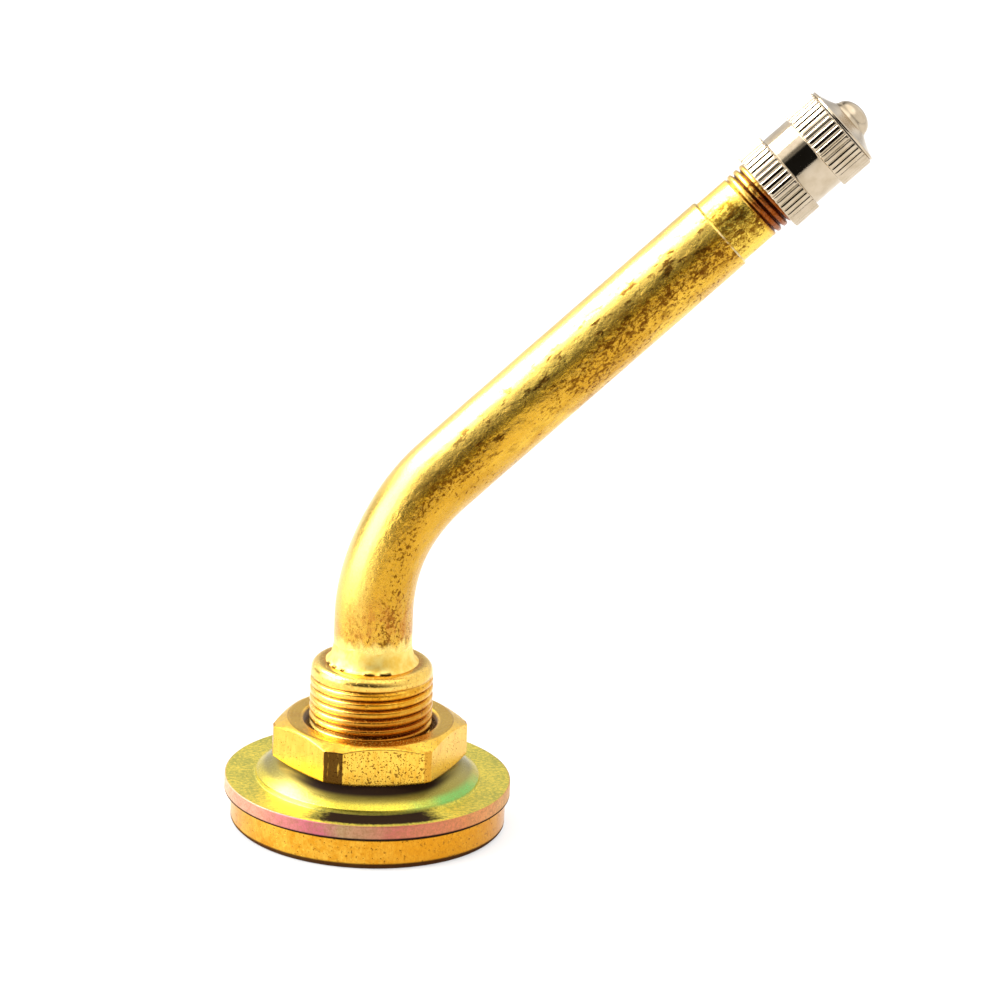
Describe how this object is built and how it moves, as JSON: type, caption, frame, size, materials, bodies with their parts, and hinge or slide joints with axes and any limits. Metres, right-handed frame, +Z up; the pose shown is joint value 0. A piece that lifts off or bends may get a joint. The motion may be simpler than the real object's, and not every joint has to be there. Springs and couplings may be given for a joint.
{
  "type": "tyre valve",
  "caption": "Clamp-in truck tyre valve: bent brass stem brazed into a threaded spud base, with bridge washer, hexagon nut, screwed-in sprung core and knurled metal cap.",
  "frame": {"origin": "centre of the round base's underside, on the spud's axis", "axes": "+Z up the spud's axis, +X the way the stem bends, +Y across the bend"},
  "size_m": [0.0652, 0.0298, 0.0777],
  "materials": {
    "spud": "bright pitted brass",
    "stem_tube": "bright brass with brown patina",
    "braze_fillet": "smooth bright filler",
    "clamp_washer": "yellow passivated zinc, iridescent",
    "clamp_nut": "bright pitted brass",
    "cap_shell": "bright nickel plate",
    "cap_gasket": "black rubber",
    "core_screw": "turned brass",
    "core_barrel": "turned brass",
    "core_barrel_seal": "red sealing ring",
    "core_pin": "drawn brass wire",
    "core_spring": "stainless wire",
    "core_cup": "pressed brass",
    "core_cup_seal": "black rubber"
  },
  "bodies": {
    "stem": {"spud": "spud", "stem_tube": "stem_tube", "braze_fillet": "braze_fillet", "core_screw": "core_screw", "core_barrel": "core_barrel", "core_barrel_seal": "core_barrel_seal", "core_spring": "core_spring"},
    "washer": {"clamp_washer": "clamp_washer"},
    "nut": {"clamp_nut": "clamp_nut"},
    "gasket": {"cap_gasket": "cap_gasket"},
    "cap": {"cap_shell": "cap_shell"},
    "plunger": {"core_pin": "core_pin", "core_cup": "core_cup", "core_cup_seal": "core_cup_seal"}
  },
  "joints": [
    {"name": "nut_turn", "type": "hinge", "parent": "stem", "child": "washer", "pos_m": [0, 0, 0], "axis": [0, 0, 1], "range_deg": [0, 3240]},
    {"name": "nut_climb", "type": "slide", "parent": "washer", "child": "nut", "axis": [0, 0, 1], "range_m": [0, 0.00879]},
    {"name": "cap_lift", "type": "slide", "parent": "stem", "child": "gasket", "axis": [0.7431, 0, 0.6691], "range_m": [0, 0.0087]},
    {"name": "cap_turn", "type": "hinge", "parent": "gasket", "child": "cap", "pos_m": [0.04606, 0, 0.0732], "axis": [0.7431, 0, 0.6691], "range_deg": [0, 3960]},
    {"name": "pin_press", "type": "slide", "parent": "stem", "child": "plunger", "axis": [-0.7431, 0, -0.6691], "range_m": [0, 0.0015], "stiffness_N_per_m": 1500, "deforming": ["core_spring"]}
  ],
  "couplings": [
    {"joint": "nut_turn", "follows": "nut_climb", "rad_per_m": 6431.6},
    {"joint": "cap_turn", "follows": "cap_lift", "rad_per_m": 7915.8}
  ]
}
